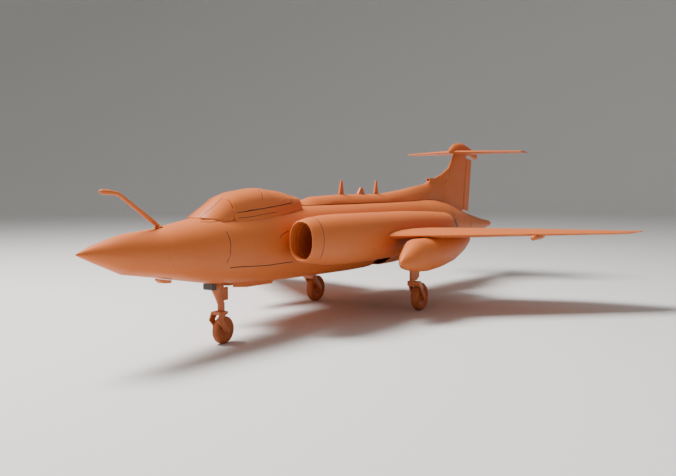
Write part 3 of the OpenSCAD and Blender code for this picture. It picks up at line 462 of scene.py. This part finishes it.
LIP_SEAM = [
    [(98.9, -326, 189), (107.2, -326, 180), (114, -326, 165), (114.5, -326, 145),
     (106.2, -326, 125)]]
FIN_EDGE = [
    [(1.9, 424.6, 294.6), (3.4, 416, 280), (4.4, 409.8, 267.5)],
    [(4.4, 396.5, 258), (3.8, 382.3, 247.8)]]
CONE_LINES = [
    [(42.9, 321.9, 190.4), (52.2, 332.5, 172.8)],
    [(53, 342.1, 166.5), (55.5, 346.4, 145.3)]]
FIN_FOOT = [[(6, 362, 206), (6.5, 395, 198), (6.5, 430, 190), (6, 465, 183)]]


# ---- what a user may change ----


class JetColours(bpy.types.PropertyGroup):
    """Colours of the finishes, as sRGB hex codes."""

    shell: bpy.props.StringProperty(
        name="Shell", description="Colour of the moulded skins", default="#CC6A30")
    shell_shade: bpy.props.StringProperty(
        name="Shell shade", description="Darker tone in the mottle of the skins", default="#C4662F")
    # Darker tone of the legs, rims and tyres: partly random mottle, partly painted shade
    gear_shade: bpy.props.StringProperty(
        name="Gear shade", description="Darker tone of the legs and rims", default="#A4552A")
    # Darker than the shell: painted shade on the tyres
    tyre: bpy.props.StringProperty(
        name="Tyre", description="Colour of the tyres", default="#B56032")
    floor: bpy.props.StringProperty(
        name="Floor", description="Colour of the studio floor", default="#D9D7D3")


class JetSizes(bpy.types.PropertyGroup):
    """Sizes of the small details."""

    seam_width: bpy.props.FloatProperty(
        name="Seam width", description="Width of a panel line",
        default=1.9 * MM, min=0.4 * MM, max=3 * MM, unit="LENGTH", precision=4)
    soft_edge: bpy.props.FloatProperty(
        name="Soft edge", description="Radius of the moulded edges",
        default=0.35 * MM, min=0.05 * MM, max=1 * MM, unit="LENGTH", precision=4)
    tread_depth: bpy.props.FloatProperty(
        name="Tread depth", description="Depth of the tyre grooves",
        default=0.9 * MM, min=0.2 * MM, max=2 * MM, unit="LENGTH", precision=4)
    blade_twist: bpy.props.FloatProperty(
        name="Blade twist", description="Twist of a fan blade from root to tip",
        default=math.radians(22), subtype="ANGLE")


class JetStudio(bpy.types.PropertyGroup):
    """Camera and light."""

    lens: bpy.props.FloatProperty(
        name="Lens", description="Focal length of the camera", default=39.07, unit="CAMERA")
    key_power: bpy.props.FloatProperty(
        name="Key light", description="Power of the overhead soft box, in watts", default=190)
    fill_power: bpy.props.FloatProperty(
        name="Fill light", description="Power of the low front soft box, in watts", default=5)


# ---- operators ----


class JET_OT_finishes(bpy.types.Operator):
    """Make the finishes and give them to the pieces that keep their shape"""

    bl_idname = "jet.finishes"
    bl_label = "Finishes"

    def execute(self, context):
        make_finishes(context.scene.jet_colours)
        for name, node in frame["nodes"].items():
            node.data.materials.clear()
            node.data.materials.append(finish_of(name))
        return {"FINISHED"}


class JET_OT_fuselage(bpy.types.Operator):
    """Skin the nose, body, tail and spine"""

    bl_idname = "jet.fuselage"
    bl_label = "Fuselage"

    def execute(self, context):
        edge = context.scene.jet_sizes.soft_edge / MM
        for node in ("nose_cone", "mid_fuselage", "chin_fairing"):
            skin_of(node, edge)
        self.reach_fin(skin_of("dorsal_spine", edge))
        lay_groove_shade(skin_of("cockpit_sill", edge), both_ways(DECK_LINE), 1.4 * MM)
        lay_groove_shade(skin_of("front_fuselage"), both_ways(SIDE_SEAMS + PANE_FOOT))
        lay_groove_shade(skin_of("tail_fuselage"), both_ways(CONE_LINES + FIN_FOOT))
        for node in ("airbrake_left", "airbrake_right"):
            skin_of(node, edge)
        return {"FINISHED"}

    def reach_fin(self, spine):
        """Draws the rear end of the spine back until it all but meets the fin."""
        end, gap = high("dorsal_spine").y, 0.4 * MM
        for vertex in spine.data.vertices:
            if vertex.co.y > end - 0.1 * MM:
                vertex.co.y = low("fin").y - gap


class JET_OT_cockpit(bpy.types.Operator):
    """Build the windshield and the sliding canopy"""

    bl_idname = "jet.cockpit"
    bl_label = "Cockpit"

    def execute(self, context):
        screen = skin_of("windshield", finish=FINISHES["formed_canopy"])
        lay_groove_shade(screen, both_ways(PANE_LINES), 1.6 * MM)
        hood = skin_of("canopy", finish=FINISHES["formed_canopy"])
        rear = REAR_BOW + [(-x, y, z) for x, y, z in REAR_BOW[-2::-1]]
        lay_groove_shade(hood, both_ways(RAIL_LINE + [MID_BAR]) + [rear], 1.6 * MM)
        return {"FINISHED"}


class JET_OT_masts(bpy.types.Operator):
    """Build the probe and the aerials"""

    bl_idname = "jet.masts"
    bl_label = "Probe and aerials"

    def execute(self, context):
        skin_of("probe", 0.2, 60)
        skin_of("aerials", 0.8)
        return {"FINISHED"}


class JET_OT_nacelles(bpy.types.Operator):
    """Skin the nacelles, intake lips, ducts and jet pipes"""

    bl_idname = "jet.nacelles"
    bl_label = "Nacelles"

    def execute(self, context):
        for node in ("intake_lips", "inlet_ducts", "jet_pipes"):
            skin_of(node, 0.4)
        lay_groove_shade(skin_of("nacelle_left", 0.4), LIP_SEAM)
        lay_groove_shade(skin_of("nacelle_right", 0.4), both_ways(LIP_SEAM)[len(LIP_SEAM):])
        return {"FINISHED"}


class JET_OT_surfaces(bpy.types.Operator):
    """Skin the wings, tail and their moving surfaces"""

    bl_idname = "jet.surfaces"
    bl_label = "Wings and tail"

    def execute(self, context):
        for side in ("left", "right"):
            for part in ("wing", "flap", "aileron"):
                skin_of(f"{part}_{side}", 0.3, 35)
            self.sharpen(skin_of(f"slipper_tank_{side}", 0.3, 35))
        for node in ("wing_tips", "wing_pods", "rudder", "tailplane", "elevator"):
            skin_of(node, 0.3, 35)
        fin = skin_of("fin")
        self.seat(fin)
        lay_groove_shade(fin, both_ways(FIN_EDGE), 1.6 * MM)
        return {"FINISHED"}

    def seat(self, fin, sink=2.6 * MM):
        """Lowers the foot of the fin into the body; a thin slot still shows under its rear."""
        foot = {k for face in fin.data.polygons if face.normal.z < -0.7 for k in face.vertices}
        for k in foot:
            fin.data.vertices[k].co.z -= sink

    def sharpen(self, tank):
        """Fills the tank's shoulder so that it runs straight from its nose up to the wing."""
        node = tank.name.replace("_skin", "")
        front, length = low(node).y, high(node).y - low(node).y
        waist, rise = low(node).z + 0.3 * (high(node).z - low(node).z), 8 * MM
        start, end, full_above = 0.02, 0.3, 20 * MM
        for vertex in tank.data.vertices:
            share = (vertex.co.y - front) / length
            if start < share < end and vertex.co.z > waist:
                up = min(1, (vertex.co.z - waist) / full_above)
                vertex.co.z += rise * up * math.sin(math.pi * (share - start) / (end - start))


class JET_OT_undercarriage(bpy.types.Operator):
    """Build the legs, doors, wheels and tyres"""

    bl_idname = "jet.undercarriage"
    bl_label = "Undercarriage"

    def execute(self, context):
        for node in (
            "nose_fork", "nose_doors", "main_mounts", "main_door_left", "main_door_right"):
            skin_of(node, 0.4)
        self.painted_shadow_block(skin_of("nose_mount", 0.4))
        # Rows of height, middle along y, half width along x and half depth along y, in
        # fixed millimetres that don't follow a change of the legs
        self.fairing(skin_of("nose_leg", 0.4), 0, [
            (99, -444, 6, 8), (90, -448.5, 7, 11.2), (84, -448.5, 7, 11), (76, -446, 6, 8.6),
            (68, -443, 5.4, 6.6), (61, -441, 5, 5.4)])
        for side, node in ((1, "main_leg_left"), (-1, "main_leg_right")):
            self.fairing(skin_of(node, 0.4), side * 118, [
                (98, -22, 5.2, 12), (88, -22.5, 5.4, 12.4), (76, -23, 5.2, 10.5),
                (66, -24, 5, 10.5), (59.5, -25, 4.6, 8.6)])
        depth = context.scene.jet_sizes.tread_depth
        for name in ("nose", "main_left", "main_right"):
            first, _, side = name.partition("_")
            ending = f"_{side}" if side else ""
            self.tyre(f"{first}_tyre{ending}", depth)
            self.rim(f"{first}_wheel{ending}")
        return {"FINISHED"}

    def fairing(self, piece, x, rows, sides=20):
        """Adds a moulded sleeve round a leg."""
        points, faces = [], []
        for z, y, across, along in rows:
            for k in range(sides):
                a = 2 * math.pi * k / sides
                points.append(Vector((x + across * math.cos(a), y + along * math.sin(a), z)) * MM)
        for i in range(len(rows) - 1):
            for k in range(sides):
                p, q = i * sides + k, i * sides + (k + 1) % sides
                faces.append((p, q, q + sides, p + sides))
        faces.append(tuple(range(sides)))
        faces.append(tuple((len(rows) - 1) * sides + k for k in range(sides)))
        add_shapes(piece, points, faces)
        shade(piece.data)

    def painted_shadow_block(self, piece):
        """Adds the dark nylon block that steadies the nose leg, just below the belly; its dark
        colour is painted shadow under the belly.
        """
        front, rear, half, top, foot, cut = -470, -459.5, 8.5, 95, 85.5, 1.6
        outline = [
            (front + cut, foot), (rear, foot), (rear, top), (front, top), (front, foot + cut)]
        points = [Vector((x, y, z)) * MM for x in (-half, half) for y, z in outline]
        n = len(outline)
        faces = [tuple(range(n)), tuple(range(n, 2 * n))]
        faces += [(k, (k + 1) % n, n + (k + 1) % n, n + k) for k in range(n)]
        # The dark nylon finish here is painted shadow under the belly
        add_shapes(piece, points, faces, FINISHES["fan_nylon"])
        shade(piece.data, 20)

    def tyre(self, node, depth):
        """A ribbed tyre: three grooves round the tread and a rim guard on each wall."""
        a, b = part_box(node)
        centre, half, r = (a + b) / 2, (b.x - a.x) / 2, (b.z - a.z) / 2
        hub = r * 0.6
        wall = [
            (hub, 0.80), (hub + 0.10 * (r - hub), 0.90), (hub + 0.22 * (r - hub), 0.90),
            (hub + 0.28 * (r - hub), 0.97), (hub + 0.50 * (r - hub), 0.99),
            (hub + 0.72 * (r - hub), 0.90), (hub + 0.88 * (r - hub), 0.72), (r * 0.990, 0.55)]
        right = [(q, s * half) for q, s in wall]
        tread, floor = [], r - depth
        for groove in (0.36, 0.0, -0.36):
            crown = r * (1 - 0.018 * groove * groove)
            tread += [
                (crown, (groove + 0.07) * half), (floor, (groove + 0.05) * half),
                (floor, (groove - 0.05) * half), (crown, (groove - 0.07) * half)]
        left = [(q, -s) for q, s in right][::-1]
        points, faces = lathe(right + tread + left, 72, centre, "X")
        mesh = mesh_from(node, points, faces)
        shade(mesh, 35)
        to_piece(f"{node}_ribbed", mesh, finish_of(node), BODY_OF[node], [node])

    def rim(self, node):
        """A turned rim with a dished web, a bolt circle and a hub cap."""
        a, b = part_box(node)
        centre, half, r = (a + b) / 2, (b.x - a.x) / 2, (b.z - a.z) / 2
        bore = 2.1 * MM
        profile = [
            (bore, half), (r * 0.30, half), (r * 0.36, half * 0.86), (r * 0.42, half * 0.50),
            (r * 0.74, half * 0.42), (r * 0.80, half * 0.66), (r * 0.97, half * 0.72),
            (r, half * 0.68), (r, half * 0.60), (r * 0.93, half * 0.50)]
        other = [(q, -s) for q, s in profile][::-1]
        parts = [lathe(profile + other, 60, centre, "X")]
        for side in (-1, 1):
            for k in range(6):
                turn = 2 * math.pi * k / 6
                spot = centre + Vector(
                    (side * half * 0.44, math.cos(turn) * r * 0.58, math.sin(turn) * r * 0.58))
                parts.append(lathe(
                    [(0.01 * MM, side * 1.1 * MM), (0.9 * MM, side * 1.1 * MM),
                     (1.2 * MM, side * 0.8 * MM), (1.2 * MM, -side * 0.4 * MM),
                     (0.01 * MM, -side * 0.4 * MM)], 6, spot, "X"))
        points, faces = join_parts(parts)
        mesh = mesh_from(node, points, faces)
        shade(mesh, 35)
        to_piece(f"{node}_rim", mesh, finish_of(node), BODY_OF[node], [node])


class JET_OT_fans(bpy.types.Operator):
    """Build the fan rotors and skin their housings and motors"""

    bl_idname = "jet.fans"
    bl_label = "Fans"

    def execute(self, context):
        for node in ("fan_housing_left", "fan_housing_right", "fan_motors"):
            skin_of(node, 0.3)
        for side in ("left", "right"):
            self.rotor(f"fan_rotor_{side}", context.scene.jet_sizes.blade_twist)
        return {"FINISHED"}

    def rotor(self, node, twist, blades=11):
        """A spinner, a hub and twisted blades that taper to the tip."""
        a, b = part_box(node)
        centre = (a + b) / 2
        tip = (b.z - a.z) / 2 * 0.998
        front = a.y
        hub, hub_rear, camber = 13.5 * MM, 28 * MM, 0.9 * MM
        root_pitch, blade_back = math.radians(52), 21 * MM
        nose = [(0.05 * MM, 0), (3 * MM, 0.7 * MM), (6.5 * MM, 3.2 * MM), (10 * MM, 7.4 * MM),
                (12.6 * MM, 11.4 * MM), (hub, 14 * MM), (hub, hub_rear), (11 * MM, hub_rear),
                (2.5 * MM, 27.2 * MM), (2.5 * MM, 56 * MM), (0.05 * MM, 56 * MM)]
        axis_point = Vector((centre.x, front, centre.z))
        parts = [lathe(nose, 48, axis_point, "Y")]
        for k in range(blades):
            turn = Matrix.Rotation(2 * math.pi * k / blades, 3, "Y")
            points, faces, rows, cols = [], [], 7, 6
            for side in (0, 1):
                for i in range(rows):
                    t = i / (rows - 1)
                    r = (hub - 0.6 * MM) * (1 - t) + tip * t
                    pitch = root_pitch - twist * (1 - t)
                    chord = (12.5 - 2.5 * t) * MM
                    thick = (1.5 - 0.7 * t) * MM
                    for j in range(cols):
                        u = j / (cols - 1) - 0.5
                        w = (1 - 4 * u * u) * (camber + (0.5 if side else -0.5) * thick)
                        x = u * chord * math.sin(pitch) + w * math.cos(pitch)
                        y = -u * chord * math.cos(pitch) + w * math.sin(pitch)
                        points.append(
                            turn @ Vector((x, y, r)) + axis_point + Vector((0, blade_back, 0)))
            n = rows * cols
            for i in range(rows - 1):
                for j in range(cols - 1):
                    p = i * cols + j
                    faces.append((p, p + 1, p + cols + 1, p + cols))
                    faces.append((n + p, n + p + cols, n + p + cols + 1, n + p + 1))
            rim = [i * cols for i in range(rows)] + [(rows - 1) * cols + j for j in range(1, cols)]
            rim += [i * cols + cols - 1 for i in range(rows - 2, -1, -1)]
            rim += [j for j in range(cols - 2, 0, -1)]
            for q in range(len(rim)):
                p, s = rim[q], rim[(q + 1) % len(rim)]
                faces.append((p, s, n + s, n + p))
            parts.append((points, faces))
        points, faces = join_parts(parts)
        mesh = mesh_from(node, points, faces)
        shade(mesh, 35)
        to_piece(f"{node}_bladed", mesh, finish_of(node), BODY_OF[node], [node])


class JET_OT_equipment(bpy.types.Operator):
    """Round the edges of the parts inside the body"""

    bl_idname = "jet.equipment"
    bl_label = "Equipment"

    def execute(self, context):
        for node, edge in (
            ("battery", 3), ("battery_tray", 0.3), ("receiver", 1), ("speed_controls", 1),
            ("servos", 0.5), ("wing_frame", 0.3), ("wing_joiners", 0.2), ("hinge_pins", 0.1)):
            skin_of(node, edge)
        return {"FINISHED"}


class JET_OT_stage(bpy.types.Operator):
    """Build the pale floor, the soft lights and the camera"""

    bl_idname = "jet.stage"
    bl_label = "Stage"

    def execute(self, context):
        scene = context.scene
        studio = scene.jet_studio
        # Painted plaster cove: a matt floor that runs up into a round wall
        paint = surface(
            "matt_cove_paint", scene.jet_colours.floor, scene.jet_colours.floor,
            [("IOR", 1.45), ("Specular IOR Level", 0.2)], 900, 9, 0.05, (0.85, 0.95))
        profile = [(3.0, 0.0), (6.0, 0.0)]
        profile += [(6 + 3 * math.sin(a), 3 - 3 * math.cos(a))
                    for a in (math.radians(q) for q in range(10, 91, 10))]
        profile.append((9.0, 7.0))
        points, faces, sides = [], [], 96
        for k in range(sides):
            a = 2 * math.pi * k / sides
            points += [Vector((r * math.cos(a), r * math.sin(a), z)) for r, z in profile]
        n = len(profile)
        points.append(Vector((0, 0, 0)))
        for k in range(sides):
            nxt = (k + 1) % sides
            faces.append((len(points) - 1, k * n, nxt * n))
            for i in range(n - 1):
                faces.append((k * n + i, k * n + i + 1, nxt * n + i + 1, nxt * n + i))
        mesh = bpy.data.meshes.new("cove")
        mesh.from_pydata([tuple(p) for p in points], [], faces)
        for face in mesh.polygons:
            face.use_smooth = True
        mesh.materials.append(paint)
        cove = bpy.data.objects.new("cove", mesh)
        scene.collection.objects.link(cove)

        world = bpy.data.worlds.new("studio")
        world.use_nodes = True
        world.node_tree.nodes["Background"].inputs[0].default_value = linear(WORLD_COLOUR)
        world.node_tree.nodes["Background"].inputs[1].default_value = WORLD_STRENGTH
        scene.world = world

        self.soft_box("key", (-0.9, -0.9, 2.5), (0, 0.0, 0.12), 1.2, studio.key_power)
        self.soft_box("fill", (0.3, -2.6, 0.9), (0, -0.1, 0.15), 1.4, studio.fill_power)

        lens = bpy.data.cameras.new("camera")
        lens.lens = studio.lens
        lens.sensor_width = SENSOR_WIDTH
        lens.clip_start, lens.clip_end = 0.01, 60
        camera = bpy.data.objects.new("camera", lens)
        scene.collection.objects.link(camera)
        camera.location = CAMERA_PLACE
        turn = (
            Matrix.Rotation(math.radians(HEADING), 3, "Z")
            @ Matrix.Rotation(math.radians(90 - TILT_DOWN), 3, "X")
            @ Matrix.Rotation(math.radians(ROLL), 3, "Z"))
        camera.rotation_euler = turn.to_euler()
        scene.camera = camera
        return {"FINISHED"}

    def soft_box(self, name, place, aim, size, power):
        lamp = bpy.data.lights.new(name, "AREA")
        lamp.energy = power
        lamp.size = size
        box = bpy.data.objects.new(name, lamp)
        bpy.context.scene.collection.objects.link(box)
        box.location = place
        box.rotation_euler = (Vector(aim) - Vector(place)).to_track_quat("-Z", "Y").to_euler()


OPERATORS = (
    JET_OT_finishes, JET_OT_fuselage, JET_OT_cockpit, JET_OT_masts, JET_OT_nacelles,
    JET_OT_surfaces, JET_OT_undercarriage, JET_OT_fans, JET_OT_equipment, JET_OT_stage)


class JET_PT_sidebar(bpy.types.Panel):
    """The jet's builders and settings"""

    bl_idname = "JET_PT_sidebar"
    bl_label = "Jet"
    bl_space_type = "VIEW_3D"
    bl_region_type = "UI"
    bl_category = "Jet"

    def draw(self, context):
        scene = context.scene
        for group in (scene.jet_colours, scene.jet_sizes, scene.jet_studio):
            column = self.layout.column()
            for name in group.__annotations__:
                column.prop(group, name)
        for operator in OPERATORS:
            self.layout.operator(operator.bl_idname)


CLASSES = (JetColours, JetSizes, JetStudio, *OPERATORS, JET_PT_sidebar)


def register():
    for item in CLASSES:
        bpy.utils.register_class(item)
    bpy.types.Scene.jet_colours = bpy.props.PointerProperty(type=JetColours)
    bpy.types.Scene.jet_sizes = bpy.props.PointerProperty(type=JetSizes)
    bpy.types.Scene.jet_studio = bpy.props.PointerProperty(type=JetStudio)


def unregister():
    del bpy.types.Scene.jet_colours
    del bpy.types.Scene.jet_sizes
    del bpy.types.Scene.jet_studio
    for item in reversed(CLASSES):
        bpy.utils.unregister_class(item)


def main():
    register()
    for operator in OPERATORS:
        group, name = operator.bl_idname.split(".")
        getattr(getattr(bpy.ops, group), name)()


if __name__ == "__main__":
    main()
